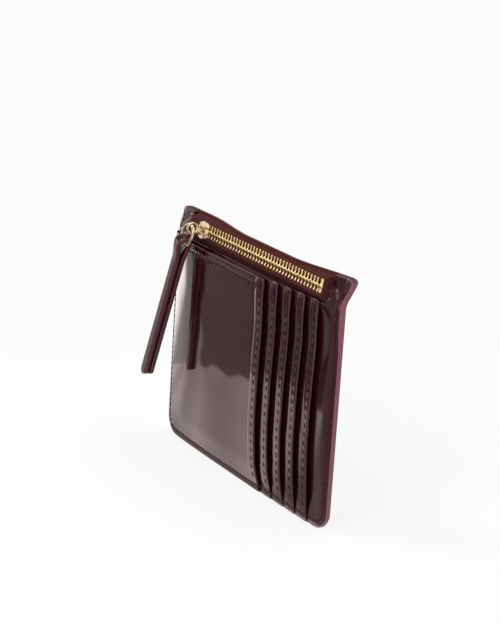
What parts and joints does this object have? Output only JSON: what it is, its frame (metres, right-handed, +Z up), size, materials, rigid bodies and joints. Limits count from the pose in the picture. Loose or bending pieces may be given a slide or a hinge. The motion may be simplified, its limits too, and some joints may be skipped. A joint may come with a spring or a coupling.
{
  "type": "zip card wallet",
  "caption": "Slim upright leather card wallet with stepped card slots opening to one side, a zipped top pocket, and a ring-and-strap zip puller.",
  "frame": {"origin": "middle of the bottom edge, in the middle of the back panel's thickness", "axes": "+Z up towards the zip, -Y out of the front with the card slots, +X towards the side that the card slots open to"},
  "size_m": [0.14, 0.0251, 0.107],
  "materials": {
    "patent_leather": "gloss",
    "lining_cloth": "matte",
    "zip_tape": "matte woven",
    "gold_metal": "polished"
  },
  "bodies": {
    "wallet": {"back_panel": "patent_leather", "back_lining": "lining_cloth", "front_lining": "lining_cloth", "base_panel": "patent_leather", "card_panel_1": "patent_leather", "card_panel_2": "patent_leather", "card_panel_3": "patent_leather", "card_panel_4": "patent_leather", "front_pocket": "patent_leather", "upper_zip_tape": "zip_tape", "lower_zip_tape": "zip_tape", "upper_zip_teeth": "gold_metal", "lower_zip_teeth": "gold_metal", "zip_top_stops": "gold_metal", "zip_bottom_stop": "gold_metal"},
    "slider": {"slider_front_plate": "gold_metal", "slider_back_plate": "gold_metal", "slider_bridge": "gold_metal"},
    "link": {"pull_link": "gold_metal"},
    "ring": {"pull_ring": "gold_metal"},
    "strap": {"pull_strap": "patent_leather"}
  },
  "joints": [
    {"name": "zip_slide", "type": "slide", "parent": "wallet", "child": "slider", "axis": [1, 0, 0], "range_m": [0, 0.0927]},
    {"name": "link_swing", "type": "hinge", "parent": "slider", "child": "link", "pos_m": [-0.0406, -0.00665, 0.10237], "axis": [0, 0.2079, 0.9781], "range_deg": [-6, 30]},
    {"name": "ring_swing", "type": "hinge", "parent": "link", "child": "ring", "pos_m": [-0.041, -0.01113, 0.10333], "axis": [-0.7431, 0.1844, 0.6432], "range_deg": [0, 90]},
    {"name": "strap_swing", "type": "hinge", "parent": "ring", "child": "strap", "pos_m": [-0.0457, -0.01337, 0.09551], "axis": [0.9511, -0.0852, -0.297], "range_deg": [-60, 2]}
  ]
}
